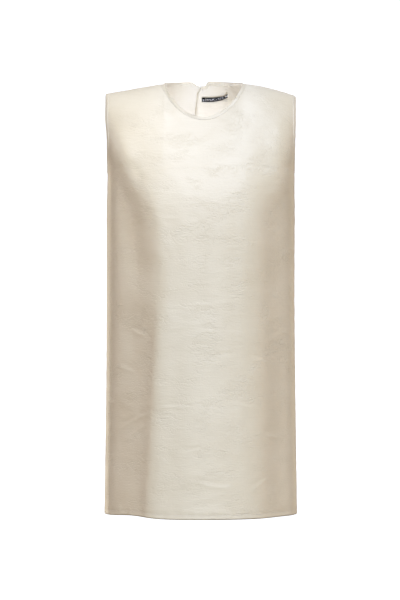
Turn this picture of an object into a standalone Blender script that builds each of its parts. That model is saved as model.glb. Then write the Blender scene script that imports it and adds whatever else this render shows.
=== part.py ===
"""A sleeveless tunic top, filled out as it is worn, with nobody in it.

One front, two backs sewn down the centre back with a slit left open at the neck, bound neck and armholes,
a turned hem, a shank button with its thread loop, and a woven label inside the back neck.

Metres, +Z up. The front faces -Y and +X is the wearer's left. The origin is on the centre back plane, level
with the points where the shoulder seams reach the neck: there the wearer's shoulders hold the cloth.
"""

import math

import bmesh
import bpy
import numpy as np
from mathutils import Matrix, Vector
from mathutils.bvhtree import BVHTree

# Driving dimensions.
LENGTH = 0.856                # side neck point down to the hem, at the side seams
NECK_HALF_WIDTH = 0.0785
NECK_SHIFT = 0.0055           # the neck sits this far towards the wearer's left
NECK_DEPTH_FRONT = 0.0722
NECK_RISE_BACK = 0.0112       # the back neck stands this far above the side neck points
SHOULDER_HALF_WIDTH = 0.1886
SHOULDER_DROP = (0.0200, 0.0245)  # on the wearer's right and left
UNDERARM_Z = -0.175
ARMHOLE_TOP_Z = -0.0245
WALL = 0.0015                 # cloth
HEM_WALL = 0.0028             # cloth turned up on itself
HEM_DEPTH = 0.008
SEAM_GAP = 0.0003

# Centre back slit.
SLIT_BOTTOM_Z = -0.125
SLIT_GAP = 0.0008             # widest, halfway down
SLIT_TOP_GAP = 0.0022
SLIT_TOP_LENGTH = 0.035       # length over which it opens out towards its top
NOTCH_DEPTH = 0.0062
NOTCH_START = (-0.022, 0.018)     # on the wearer's right: where it begins, and the length of its slope
NOTCH_END = (0.015, 0.006)

# Bindings.
BINDING_WIDTH = 0.007
BINDING_WALL = 0.0009
BINDING_GAP = 0.0006          # between the binding and the cloth it is folded over

# Trim.
BUTTON_RADIUS = 0.005
BUTTON_THICKNESS = 0.0022
BUTTON_LIFT = 0.0021          # underside of the button above the cloth
SHANK_RADIUS = 0.0015
BUTTON_X, BUTTON_Z = 0.0085, -0.0065
LOOP_RADIUS = 0.00055
LABEL_WALL = 0.0006
LABEL_HEIGHT = 0.011
LABEL_START_X, LABEL_END_X = 0.0055, 0.0555
LABEL_Z = -0.0256
LABEL_CURL = 0.0106           # how far its far end lifts

# How finely the walls are divided.
NECK_COLUMNS = 12             # from the middle to the shoulder seam
SHOULDER_COLUMNS = 9
UPPER_ROWS = 17               # underarm to shoulder or neck
LOWER_ROWS = 11               # underarm to the top of the hem

# Level sections of the cut, from the hem up. Half width is that of the outer edge, side seam or armhole.
# Depths are from the side seam to the middle of the front and of the back. Square is 2 for an ellipse.
SECTION_COLUMNS = ("z", "half_width", "front_depth", "back_depth", "front_square", "back_square")
SECTIONS = np.array((
    (-0.862, 0.1922, 0.1270, 0.1060, 2.00, 2.20),
    (-0.740, 0.1905, 0.1270, 0.1040, 2.00, 2.20),
    (-0.600, 0.1886, 0.1285, 0.1020, 2.00, 2.25),
    (-0.450, 0.1872, 0.1310, 0.1000, 2.02, 2.30),
    (-0.330, 0.1872, 0.1340, 0.1005, 2.10, 2.40),
    (-0.250, 0.1876, 0.1340, 0.1035, 2.35, 2.60),
    (-0.175, 0.1858, 0.1325, 0.1060, 2.85, 2.90),
    (-0.130, 0.1860, 0.1320, 0.1060, 3.20, 3.05),
    (-0.085, 0.1874, 0.1320, 0.1060, 3.40, 3.20),
    (-0.024, 0.1888, 0.1320, 0.1060, 3.40, 3.20),
))

# Soft folds that hang from the bust and the shoulder blades. Height is outwards; a trough is negative.
FOLD_COLUMNS = ("side", "top_x", "top_z", "low_x", "low_z", "spread", "height")
FOLDS = (
    ("front", -0.108, -0.200, -0.078, -0.480, 0.024, 0.0060),
    ("front", -0.078, -0.480, -0.090, -0.900, 0.018, 0.0065),
    ("front", -0.140, -0.190, -0.126, -0.900, 0.030, -0.0080),
    ("front", 0.112, -0.200, 0.116, -0.900, 0.026, 0.0030),
    ("front", 0.152, -0.230, 0.152, -0.900, 0.018, -0.0030),
    ("front", -0.006, -0.250, 0.022, -0.620, 0.016, -0.0014),
    ("back", -0.078, -0.170, -0.086, -0.900, 0.026, 0.0060),
    ("back", 0.070, -0.170, 0.094, -0.900, 0.024, 0.0065),
    ("back", -0.130, -0.230, -0.136, -0.900, 0.022, -0.0045),
    ("back", 0.128, -0.220, 0.140, -0.900, 0.022, -0.0045),
    ("back", 0.004, -0.240, 0.000, -0.900, 0.030, -0.0050),
)
FOLD_FADE = 0.10              # length over which a fold starts or dies out

# Places where the hem rides up: side, x, spread, lift.
HEM_LIFTS = (
    ("front", -0.135, 0.030, 0.0040),
    ("back", 0.120, 0.045, 0.0020),
)

# What differs between front and back. Full depth is how far down the chest or shoulder blades stand
# proudest, rounding is the power by which the cloth rounds over the shoulder, and ridge rise and bend shape
# the shoulder line carried on across the neck. The armhole angle is where it cuts the topmost section.
SIDES = {
    "front": {"sign": -1, "full_depth": 0.235, "rounding": 0.62, "ridge_rise": -0.015,
              "ridge_bend": 1.5, "armhole_angle": math.radians(58), "neck_bend": 0.76},
    "back": {"sign": 1, "full_depth": 0.135, "rounding": 0.42, "ridge_rise": 0.066,
             "ridge_bend": 1.4, "armhole_angle": math.radians(60), "neck_bend": 0.75},
}
SHOULDER_BEND = (1.05, 1.55)  # how evenly the shoulder line falls away, right and left
CREST = 14                    # how crisply the cloth breaks over the bust and blades
RIGHT_EASE = 0.018            # how much wider the right shoulder stands, as a share
ARMHOLE_TURN = 0.35           # share of the armhole's height above which its edge runs straight

CLOTH = {"colour": (0.80, 0.74, 0.64, 1), "roughness": 0.45}
TRIM = {"colour": (0.84, 0.79, 0.70, 1), "roughness": 0.50}
LABEL = {"colour": (0.02, 0.02, 0.02, 1), "roughness": 0.70}
BUTTON = {"colour": (0.86, 0.82, 0.74, 1), "roughness": 0.25}


def section_value(name, z):
    """A column of the section table at height z, on a cubic curve through its rows."""
    knots = SECTIONS[:, 0]
    values = SECTIONS[:, SECTION_COLUMNS.index(name)]
    slopes = np.gradient(values, knots)
    z = np.clip(z, knots[0], knots[-1])
    i = np.clip(np.searchsorted(knots, z) - 1, 0, len(knots) - 2)
    step = knots[i + 1] - knots[i]
    u = (z - knots[i]) / step
    start = values[i] * (1 + 2 * u) + slopes[i] * step * u
    end = values[i + 1] * (3 - 2 * u) - slopes[i + 1] * step * (1 - u)
    return start * (1 - u) ** 2 + end * u ** 2


def smooth_step(u):
    u = np.clip(u, 0, 1)
    return u * u * (3 - 2 * u)


def within_neck(x):
    """1 in the middle of the neck, falling to 0 where it meets the shoulder seams."""
    return np.clip(1 - ((x - NECK_SHIFT) / NECK_HALF_WIDTH) ** 2, 0, None)


def shoulder_height(side, x):
    """Height of the shoulder line at x, carried on across the neck."""
    corner = NECK_HALF_WIDTH + np.sign(x) * NECK_SHIFT
    beyond = np.clip(np.abs(x) - corner, 0, None) / (SHOULDER_HALF_WIDTH - corner)
    drop, bend = np.where(x < 0, *SHOULDER_DROP), np.where(x < 0, *SHOULDER_BEND)
    return SIDES[side]["ridge_rise"] * within_neck(x) ** SIDES[side]["ridge_bend"] - drop * beyond ** bend


def neckline_height(side, x):
    """Height of the neck edge at x: scooped in front, standing up behind, with a notch over the slit."""
    rise = within_neck(x) ** SIDES[side]["neck_bend"]
    if side == "front":
        return -NECK_DEPTH_FRONT * rise
    notch = smooth_step((x - NOTCH_START[0]) / NOTCH_START[1]) * smooth_step((NOTCH_END[0] - x) / NOTCH_END[1])
    return NECK_RISE_BACK * rise - NOTCH_DEPTH * notch


def square_reach(angle, square):
    """How far a squared-off ellipse reaches beyond the plain one at this angle."""
    return (np.abs(np.sin(angle)) ** square + np.abs(np.cos(angle)) ** square) ** (-1 / square)


def armhole_angle(side, z):
    """Angle at which the armhole cuts the section. It is 90 degrees at the side seam, underarm and below."""
    down = np.clip((ARMHOLE_TOP_Z - z) / (ARMHOLE_TOP_Z - UNDERARM_Z), 0, 1)
    turn = np.clip((down - ARMHOLE_TURN) / (1 - ARMHOLE_TURN), 0, 1)
    least = SIDES[side]["armhole_angle"]
    return least + (math.pi / 2 - least) * (1 - np.sqrt(1 - turn * turn))


def side_ease(hand, z):
    # the right shoulder stands a little wider than the left
    return 1 + np.where(hand < 0, RIGHT_EASE * smooth_step((z + 0.115) / 0.05), 0)


def full_half_width(side, z):
    """Half width of the whole section, which the armhole cuts short."""
    angle = armhole_angle(side, z)
    square = section_value(side + "_square", z)
    return section_value("half_width", z) / (square_reach(angle, square) * np.sin(angle))


def fold_height(side, x, z):
    """How far the folds stand out at a point."""
    total = np.zeros_like(x)
    for row in FOLDS:
        fold = dict(zip(FOLD_COLUMNS, row))
        if fold["side"] != side:
            continue
        down = (fold["top_z"] - z) / (fold["top_z"] - fold["low_z"])
        middle = fold["top_x"] + (fold["low_x"] - fold["top_x"]) * np.clip(down, 0, 1)
        starts = smooth_step((fold["top_z"] - z) / FOLD_FADE + 0.5)
        ends = smooth_step((z - fold["low_z"]) / FOLD_FADE + 0.5)
        across = np.exp(-0.5 * ((x - middle) / fold["spread"]) ** 2)
        total += fold["height"] * starts * ends * across
    return total


def skin_point(side, angle, z):
    """Point of the outer skin. The angle is 0 mid front or back and 90 degrees at the side."""
    facts = SIDES[side]
    square = section_value(side + "_square", z)
    reach = square_reach(angle, square)
    x = full_half_width(side, z) * side_ease(angle, z) * reach * np.sin(angle)
    line = shoulder_height(side, x)
    rounding = (np.clip(line - z, 0, None) / (line + facts["full_depth"])) ** facts["rounding"]
    rounding = rounding / (1 + rounding ** CREST) ** (1 / CREST)
    depth = section_value(side + "_depth", z) * reach * np.abs(np.cos(angle)) * rounding
    depth += fold_height(side, x, z) * smooth_step(np.abs(np.cos(angle)) / 0.35)
    return np.stack([x, facts["sign"] * (depth + SEAM_GAP / 2), z], axis=-1)


def angle_at(side, x, z):
    """The angle whose point lies at x, at this height."""
    square = section_value(side + "_square", z)
    full = full_half_width(side, z) * side_ease(x, z)
    share = np.clip(np.abs(x) / full, 1e-6, 1 - 1e-9)
    return np.sign(x) * np.arctan((share ** -square - 1) ** (-1 / square))


def hem_height(side, x):
    lift = sum(h * np.exp(-0.5 * ((x - at) / spread) ** 2) for s, at, spread, h in HEM_LIFTS if s == side)
    return lift - LENGTH


def even_along(points, count):
    """Shares of a finely divided curve's run that split its length into count equal steps."""
    lengths = np.linalg.norm(np.diff(points, axis=0), axis=1)
    run = np.concatenate([[0], np.cumsum(lengths)]) / lengths.sum()
    return np.interp(np.linspace(0, 1, count + 1), run, np.linspace(0, 1, len(points)))


def panel_skin(side, half):
    """Grid of the outer skin, a row for each level from the hem up and a column for each step across.

    half is 0 for a whole panel, or the sign of x for a half that ends at the centre.
    """
    count = NECK_COLUMNS + SHOULDER_COLUMNS
    steps = np.arange(0 if half else -count, count + 1) * (half or 1)
    share = steps / count
    sign = np.where(steps < 0, -1, 1)
    start = 0 if half else NECK_SHIFT
    corner = NECK_SHIFT + sign * NECK_HALF_WIDTH
    neck_share = np.empty(len(steps))
    for hand in (-1, 1):
        fine_x = np.linspace(start, NECK_SHIFT + hand * NECK_HALF_WIDTH, 400)
        fine_z = neckline_height(side, fine_x)
        along = even_along(skin_point(side, angle_at(side, fine_x, fine_z), fine_z), NECK_COLUMNS)
        neck_share[sign == hand] = along[np.minimum(np.abs(steps), NECK_COLUMNS)[sign == hand]]
    past_neck = (np.clip(np.abs(steps) - NECK_COLUMNS, 0, None) / SHOULDER_COLUMNS) ** 1.2
    top_x = start + neck_share * (corner - start) + past_neck * (sign * SHOULDER_HALF_WIDTH - corner)
    in_neckline = np.abs(steps) < NECK_COLUMNS
    top_z = np.where(in_neckline, neckline_height(side, top_x), shoulder_height(side, top_x))

    def plain_angle(z):
        return sign * (math.pi / 2 * np.abs(share) - (math.pi / 2 - armhole_angle(side, z)) * share ** 2)

    top_shift = angle_at(side, top_x, top_z) - plain_angle(top_z)
    level_hem = skin_point(side, plain_angle(UNDERARM_Z), np.full(len(share), -LENGTH))
    bottom_z = hem_height(side, level_hem[:, 0])
    levels = []
    for z in (bottom_z, bottom_z + HEM_DEPTH, bottom_z + HEM_DEPTH + 0.001):
        levels.append((plain_angle(z), z))
    for row in range(1, LOWER_ROWS + 1):
        up = 1 - (1 - row / LOWER_ROWS) ** 1.4
        z = levels[2][1] * (1 - up) + UNDERARM_Z * up
        levels.append((plain_angle(z), z))
    fine_z = np.linspace(UNDERARM_Z, ARMHOLE_TOP_Z, 400)
    for up in even_along(skin_point(side, armhole_angle(side, fine_z), fine_z), UPPER_ROWS)[1:]:
        z = UNDERARM_Z * (1 - up) + top_z * up
        levels.append((plain_angle(z) + up * top_shift, z))
    skin = np.array([skin_point(side, angle, z) for angle, z in levels])
    if half:
        skin[..., 0] += half * centre_gap(skin[:, :1, 2]) * (1 - np.abs(share)) ** 12
    return skin


def centre_gap(z):
    """Half the gap between the two backs: a seam below, a slit above."""
    down = np.clip((NECK_RISE_BACK - z) / (NECK_RISE_BACK - SLIT_BOTTOM_Z), 0, 1)
    widest = (SLIT_GAP - SEAM_GAP) / 2 * np.sin(math.pi * down) ** 0.7
    at_top = (SLIT_TOP_GAP - SLIT_GAP) / 2 * np.clip(1 + z / SLIT_TOP_LENGTH, 0, None) ** 2
    return SEAM_GAP / 2 + widest + at_top


def skin_normals(skin, half):
    """Outward normals, turned square to the seams so that the pieces' edges face each other evenly."""
    across = np.gradient(skin, axis=1)
    up = np.gradient(skin, axis=0)
    normals = np.cross(across, up)
    outward = skin - np.array((0, 0, 1)) * skin[..., 2:]
    if np.sum(normals * outward) < 0:
        normals = -normals
    sides_from = UPPER_ROWS
    columns = (-1,) if half else (0, -1)
    for column in columns:
        normals[:-sides_from, column, 1] = 0
    in_neck = np.abs(skin[-1, :, 0] - NECK_SHIFT) < NECK_HALF_WIDTH - 1e-6
    normals[-1, ~in_neck, 1] = 0
    if half:
        normals[:, 0, 0] = 0
    return normals / np.linalg.norm(normals, axis=-1, keepdims=True)


def make_material(name, facts):
    material = bpy.data.materials.new(name)
    material.use_nodes = True
    shader = material.node_tree.nodes["Principled BSDF"]
    shader.inputs["Base Color"].default_value = facts["colour"]
    shader.inputs["Roughness"].default_value = facts["roughness"]
    shader.inputs["Metallic"].default_value = 0
    return material


def add_object(name, points, faces, material, collection):
    """A closed mesh with its faces turned outwards."""
    mesh = bpy.data.meshes.new(name)
    mesh.from_pydata([tuple(p) for p in points], [], faces)
    shape = bmesh.new()
    shape.from_mesh(mesh)
    bmesh.ops.recalc_face_normals(shape, faces=shape.faces)
    shape.to_mesh(mesh)
    shape.free()
    mesh.shade_smooth()
    mesh.set_sharp_from_angle(angle=math.radians(50))
    mesh.materials.append(material)
    made = bpy.data.objects.new(name, mesh)
    collection.objects.link(made)
    return made


def grid_faces(rows, columns, start=0):
    return [
        (start + i * columns + j, start + i * columns + j + 1,
         start + (i + 1) * columns + j + 1, start + (i + 1) * columns + j)
        for i in range(rows - 1) for j in range(columns - 1)
    ]


def add_wall(name, outer, inner, material, collection):
    """A wall lofted between an outer and an inner skin of the same grid, closed all round its edge."""
    rows, columns = outer.shape[:2]
    count = rows * columns
    index = np.arange(count).reshape(rows, columns)
    border = [*index[0, :], *index[1:, -1], *index[-1, -2::-1], *index[-2:0:-1, 0]]
    faces = grid_faces(rows, columns) + [f[::-1] for f in grid_faces(rows, columns, count)]
    faces += [(a, a + count, b + count, b) for a, b in zip(border, border[1:] + border[:1])]
    points = np.concatenate([outer.reshape(-1, 3), inner.reshape(-1, 3)])
    return add_object(name, points, faces, material, collection)


def add_panel(name, side, half, material, collection):
    """A cloth panel. It keeps its skins and normals for the pieces that lie on it."""
    outer = panel_skin(side, half)
    normals = skin_normals(outer, half)
    thickness = np.full((outer.shape[0], 1, 1), WALL)
    thickness[:2] = HEM_WALL
    inner = outer - normals * thickness
    made = add_wall(name, outer, inner, material, collection)
    return {"object": made, "outer": outer, "inner": inner, "normals": normals}


def skin_tree(skins):
    """One search tree over several open skins."""
    points, faces = [], []
    for skin in skins:
        faces += grid_faces(*skin.shape[:2], start=len(points))
        points += [Vector(p) for p in skin.reshape(-1, 3)]
    return BVHTree.FromPolygons(points, faces)


def edge_of(panel, rows, column):
    """Outer points, inner points and normals along part of a panel's edge."""
    return [panel[key][rows, column] for key in ("outer", "inner", "normals")]


def join_edges(*edges):
    """Edges end to end. Where two meet at a seam, their end points become one between them."""
    outer, inner, normals = [list(part) for part in edges[0]]
    for edge in edges[1:]:
        for joined, more in zip((outer, inner, normals), edge):
            joined[-1] = (joined[-1] + more[0]) / 2
            joined += list(more[1:])
    return np.array(outer), np.array(inner), np.array(normals)


def close_edge(edge):
    """Makes the first and last points of an edge, which meet at a seam, one."""
    outer, inner, normals = [part.copy() for part in edge]
    for part in (outer, inner, normals):
        part[0] = (part[0] + part[-1]) / 2
    return outer[:-1], inner[:-1], normals[:-1]


def binding_leg(tree, edge, away, normals, closed):
    """Points on the skin a whole and half a binding's width from the edge.

    Each is lifted by as much as the skin bulges between it and its neighbours, so the facets clear it.
    """
    legs = []
    for width in (BINDING_WIDTH, BINDING_WIDTH / 2):
        found = [tree.find_nearest(Vector(p))[0] for p in edge + away * width]
        legs.append(np.array([tuple(p) for p in found]))
    strip = np.stack([*legs, edge], axis=1)
    ahead = np.roll(strip, -1, axis=0) if closed else np.concatenate([strip[1:], strip[-1:]])
    lift = np.zeros(strip.shape[:2])
    for u in (0, 0.25, 0.5, 0.75):
        for v in (0, 0.5):
            along = strip * (1 - u) + ahead * u
            spots = along[:, :-1] * (1 - v) + along[:, 1:] * v
            for i, j in np.ndindex(spots.shape[:2]):
                skin = tree.find_nearest(Vector(spots[i, j]))[0]
                bulge = np.dot(np.array(skin) - spots[i, j], normals[i])
                for station in (i, (i + 1) % len(strip) if closed else min(i + 1, len(strip) - 1)):
                    lift[station, j] = max(lift[station, j], bulge)
                    lift[station, j + 1] = max(lift[station, j + 1], bulge)
    return [leg + normals * (2 * lift[:, [j]] + 0.0001) for j, leg in enumerate(legs)]


def add_binding(name, edge, closed, trees, material, collection):
    """A strip folded over a cloth edge. Its legs are made from the points of both skins, moved out."""
    outer, inner, normals = edge
    normals = normals / np.linalg.norm(normals, axis=-1, keepdims=True)
    if closed:
        along = np.roll(outer, -1, axis=0) - np.roll(outer, 1, axis=0)
    else:
        along = np.gradient(outer, axis=0)
        along[[0, -1], 1:] = 0
    away = np.cross(along, normals)
    away /= np.linalg.norm(away, axis=-1, keepdims=True)
    middle = outer.mean(axis=0)
    if np.sum(away * (outer - middle)) < 0:
        away = -away
    rim = (outer + inner) / 2
    gap, full = BINDING_GAP, BINDING_GAP + BINDING_WALL
    legs = [binding_leg(tree, skin, away, normals * way, closed)
            for tree, skin, way in zip(trees, (outer, inner), (1, -1))]
    profile = [p + normals * full for p in legs[0]]
    profile += [outer + normals * gap - away * full, rim - away * (full + 0.0002)]
    profile += [inner - normals * gap - away * full]
    profile += [p - normals * full for p in legs[1][::-1]]
    profile += [p - normals * gap for p in legs[1]]
    profile += [inner - normals * gap - away * gap, outer + normals * gap - away * gap]
    profile += [p + normals * gap for p in legs[0][::-1]]
    rings = np.stack(profile, axis=1)
    stations, sides = rings.shape[:2]
    faces = []
    for i in range(stations if closed else stations - 1):
        for j in range(sides):
            here, there = i * sides, (i + 1) % stations * sides
            faces.append((here + j, here + (j + 1) % sides, there + (j + 1) % sides, there + j))
    if not closed:
        faces += [tuple(range(sides)), tuple(range((stations - 1) * sides, stations * sides))]
    return add_object(name, rings.reshape(-1, 3), faces, material, collection)


def place_on_back(tree, x, z):
    """Point and outward normal of the back's outer skin at x and z, carried straight across the slit."""
    beside = math.copysign(max(abs(x), SLIT_GAP / 2 + 0.001), x)
    place, normal, _, _ = tree.ray_cast(Vector((beside, 1, z)), Vector((0, -1, 0)))
    place.x = x
    return place, normal if normal.y > 0 else -normal


def add_button(tree, material, collection):
    """A turned button on a shank, its axis square to the cloth."""
    rim = BUTTON_THICKNESS / 2
    top = BUTTON_LIFT + BUTTON_THICKNESS
    profile = [(0, top - 0.0004), (BUTTON_RADIUS * 0.62, top - 0.0004), (BUTTON_RADIUS * 0.8, top)]
    profile += [(BUTTON_RADIUS - rim * (1 - math.sin(a)), top - rim * (1 - math.cos(a)))
                for a in np.radians((20, 45, 70, 90, 110, 140, 165))]
    profile += [(SHANK_RADIUS, BUTTON_LIFT), (SHANK_RADIUS, SEAM_GAP), (0, SEAM_GAP)]
    mesh = bpy.data.meshes.new("button")
    mesh.from_pydata([(r, 0, z) for r, z in profile], [(i, i + 1) for i in range(len(profile) - 1)], [])
    mesh.materials.append(material)
    button = bpy.data.objects.new("button", mesh)
    collection.objects.link(button)
    turn = button.modifiers.new("turn", "SCREW")
    turn.steps = turn.render_steps = 20
    turn.use_merge_vertices = True
    turn.merge_threshold = 0.00001
    turn.use_smooth_shade = True
    place, normal = place_on_back(tree, BUTTON_X, BUTTON_Z)
    button.matrix_world = Matrix.Translation(place) @ normal.to_track_quat("Z", "Y").to_matrix().to_4x4()
    return button


def add_loop(tree, material, collection):
    """A thread loop from the other back's slit edge, round the button's shank and back."""
    half_height, turn_radius = 0.0030, SHANK_RADIUS + LOOP_RADIUS + SEAM_GAP + 0.0002
    start_x = -0.0026
    route = [(start_x, BUTTON_Z + half_height)]
    route += [(start_x + u * (BUTTON_X - start_x), BUTTON_Z + half_height + u * (turn_radius - half_height))
              for u in (0.33, 0.66)]
    route += [(BUTTON_X + turn_radius * math.sin(a), BUTTON_Z + turn_radius * math.cos(a))
              for a in np.linspace(0, math.pi, 7)]
    route += [(x, 2 * BUTTON_Z - z) for x, z in route[2::-1]]
    curve = bpy.data.curves.new("button_loop", "CURVE")
    curve.dimensions = "3D"
    curve.bevel_depth = LOOP_RADIUS
    curve.bevel_resolution = 2
    curve.use_fill_caps = True
    spline = curve.splines.new("POLY")
    spline.points.add(len(route) - 1)
    for point, (x, z) in zip(spline.points, route):
        place, normal = place_on_back(tree, x, z)
        point.co = (*(place + normal * (LOOP_RADIUS + SEAM_GAP + 0.0002)), 1)
    curve.materials.append(material)
    loop = bpy.data.objects.new("button_loop", curve)
    collection.objects.link(loop)
    return loop


def add_label(back, material, collection):
    """A woven label flat on the inside of the wearer's left back, its far end curling up."""
    tree = skin_tree([back["inner"]])
    xs = np.linspace(LABEL_START_X, LABEL_END_X, 11)
    share = (xs - LABEL_START_X) / (LABEL_END_X - LABEL_START_X)
    middle = LABEL_Z + LABEL_CURL * smooth_step((share - 0.35) / 0.65) * share
    skins = []
    for lift in (SEAM_GAP, SEAM_GAP + LABEL_WALL):
        rows = []
        for up in (-0.5, 0, 0.5):
            row = []
            for x, z in zip(xs, middle + up * LABEL_HEIGHT):
                place, normal, _, _ = tree.ray_cast(Vector((x, 0, z)), Vector((0, 1, 0)))
                inward = normal if normal.y < 0 else -normal
                row.append(tuple(place + inward * lift))
            rows.append(row)
        skins.append(np.array(rows))
    return add_wall("label", skins[1], skins[0], material, collection)


def main():
    for old in list(bpy.data.objects):
        bpy.data.objects.remove(old, do_unlink=True)
    tunic = bpy.data.collections.new("TunicTop")
    bpy.context.scene.collection.children.link(tunic)

    cloth = make_material("cloth", CLOTH)
    front = add_panel("front", "front", 0, cloth, tunic)
    left = add_panel("back_left", "back", 1, cloth, tunic)
    right = add_panel("back_right", "back", -1, cloth, tunic)

    panels = (front, left, right)
    trees = [skin_tree([panel[key] for panel in panels]) for key in ("outer", "inner")]
    trim = make_material("binding_cloth", TRIM)
    count = NECK_COLUMNS + SHOULDER_COLUMNS
    top = -1
    neck = join_edges(
        edge_of(left, top, slice(0, NECK_COLUMNS + 1)),
        edge_of(front, top, slice(count + NECK_COLUMNS, count - NECK_COLUMNS - 1, -1)),
        edge_of(right, top, slice(NECK_COLUMNS, None, -1)),
    )
    add_binding("neck_binding", neck, False, trees, trim, tunic)
    upward = slice(-UPPER_ROWS - 1, None)
    downward = slice(None, -UPPER_ROWS - 2, -1)
    for hand, front_column, back in (("left", -1, left), ("right", 0, right)):
        name = "armhole_binding_" + hand
        hole = join_edges(edge_of(front, upward, front_column), edge_of(back, downward, -1))
        add_binding(name, close_edge(hole), True, trees, trim, tunic)

    add_button(trees[0], make_material("button_pearl", BUTTON), tunic)
    add_loop(trees[0], make_material("loop_thread", TRIM), tunic)
    add_label(left, make_material("label_weave", LABEL), tunic)


main()
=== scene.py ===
import math

import bpy
import numpy as np
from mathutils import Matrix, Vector


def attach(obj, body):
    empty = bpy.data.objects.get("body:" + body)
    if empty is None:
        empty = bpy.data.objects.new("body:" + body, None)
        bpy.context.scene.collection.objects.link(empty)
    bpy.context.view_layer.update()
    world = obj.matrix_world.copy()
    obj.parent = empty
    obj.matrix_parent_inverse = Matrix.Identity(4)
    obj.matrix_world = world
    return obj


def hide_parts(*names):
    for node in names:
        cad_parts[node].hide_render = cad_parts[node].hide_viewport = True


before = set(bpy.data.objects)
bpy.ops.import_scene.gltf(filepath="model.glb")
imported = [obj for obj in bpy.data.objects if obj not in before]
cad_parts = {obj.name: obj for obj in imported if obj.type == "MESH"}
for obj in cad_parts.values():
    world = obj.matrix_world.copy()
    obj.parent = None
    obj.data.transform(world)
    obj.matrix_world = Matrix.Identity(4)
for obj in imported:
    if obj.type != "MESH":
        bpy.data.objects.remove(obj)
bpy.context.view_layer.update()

# Sizes of the cut, in metres, the same as the solids'.
cut = {
    "length": 0.856,            # side neck point to hem
    "neckHalfWidth": 0.0785,
    "neckShift": 0.0055,        # the neck sits this far to the wearer's left
    "neckDepthFront": 0.0722,
    "neckRiseBack": 0.0092,
    "shoulderHalfWidth": 0.1886,
    "shoulderDrop": (0.0200, 0.0245),
    "shoulderBend": (1.05, 1.55),
    "underarmZ": -0.175,
    "armholeTopZ": -0.0245,
    "armholeTurn": 0.35,
    "slitBottomZ": -0.125,
    "slitGap": 0.0003,
    "slitTopGap": 0.0010,
    "slitTopLength": 0.018,
    "notchFrom": (-0.022, 0.018),   # the notch over the slit: where its slope starts and how long it is
    "notchTo": (0.0150, 0.006),
    "notchDepth": 0.0088,
    "lapWidth": 0.012,          # the left back runs on under the right one along the slit
    "lapDepth": 0.0015,
    "rightEase": 0.018,         # the right shoulder stands this share wider than the left
}
sectionColumns = ("z", "halfWidth", "frontDepth", "backDepth", "frontSquare", "backSquare")
sections = np.array((
    (-0.862, 0.1922, 0.1270, 0.1060, 2.00, 2.20),
    (-0.740, 0.1905, 0.1270, 0.1040, 2.00, 2.20),
    (-0.600, 0.1886, 0.1285, 0.1020, 2.00, 2.25),
    (-0.450, 0.1872, 0.1310, 0.1000, 2.02, 2.30),
    (-0.330, 0.1872, 0.1340, 0.1005, 2.10, 2.40),
    (-0.250, 0.1876, 0.1340, 0.1035, 2.35, 2.60),
    (-0.175, 0.1858, 0.1325, 0.1060, 2.85, 2.90),
    (-0.130, 0.1860, 0.1320, 0.1060, 3.20, 3.05),
    (-0.085, 0.1874, 0.1320, 0.1060, 3.40, 3.20),
    (-0.024, 0.1888, 0.1320, 0.1060, 3.40, 3.20),
))
# Long soft folds from the bust and the shoulder blades. Height is outwards.
foldColumns = ("side", "topX", "topZ", "lowX", "lowZ", "spread", "height")
folds = (
    ("front", -0.108, -0.200, -0.078, -0.480, 0.024, 0.0060),
    ("front", -0.079, -0.480, -0.099, -0.900, 0.018, 0.0065),
    ("front", -0.140, -0.190, -0.126, -0.900, 0.030, -0.0080),
    ("front", 0.112, -0.200, 0.116, -0.900, 0.026, 0.0030),
    ("front", 0.152, -0.230, 0.152, -0.900, 0.018, -0.0030),
    ("front", -0.006, -0.250, 0.022, -0.620, 0.016, -0.0014),
    ("back", -0.078, -0.170, -0.086, -0.900, 0.026, 0.0060),
    ("back", 0.070, -0.170, 0.094, -0.900, 0.024, 0.0065),
    ("back", -0.130, -0.230, -0.136, -0.900, 0.022, -0.0045),
    ("back", 0.128, -0.220, 0.140, -0.900, 0.022, -0.0045),
    ("back", 0.004, -0.240, 0.000, -0.900, 0.030, -0.0050),
)
# Lesser folds of the cloth itself, over the solids' own.
softFolds = (
    ("front", -0.100, -0.210, -0.062, -0.410, 0.0140, 0.0010),
    ("front", -0.081, -0.450, -0.109, -0.900, 0.0070, 0.0012),
    ("front", 0.150, -0.200, 0.148, -0.900, 0.0200, -0.0026),
    ("front", 0.086, -0.300, 0.078, -0.760, 0.0120, 0.0006),
    ("front", 0.168, -0.520, 0.168, -0.950, 0.0160, -0.0030),
    ("front", -0.166, -0.600, -0.166, -0.950, 0.0150, -0.0022),
    ("front", -0.156, -0.120, -0.122, -0.240, 0.0150, 0.0050),
    ("front", 0.160, -0.085, 0.152, -0.225, 0.0150, 0.0046),
    ("back", -0.110, -0.220, -0.112, -0.900, 0.0110, -0.0012),
    ("back", 0.108, -0.200, 0.120, -0.900, 0.0120, -0.0014),
    ("back", 0.040, -0.300, 0.048, -0.700, 0.0110, 0.0008),
)
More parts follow.
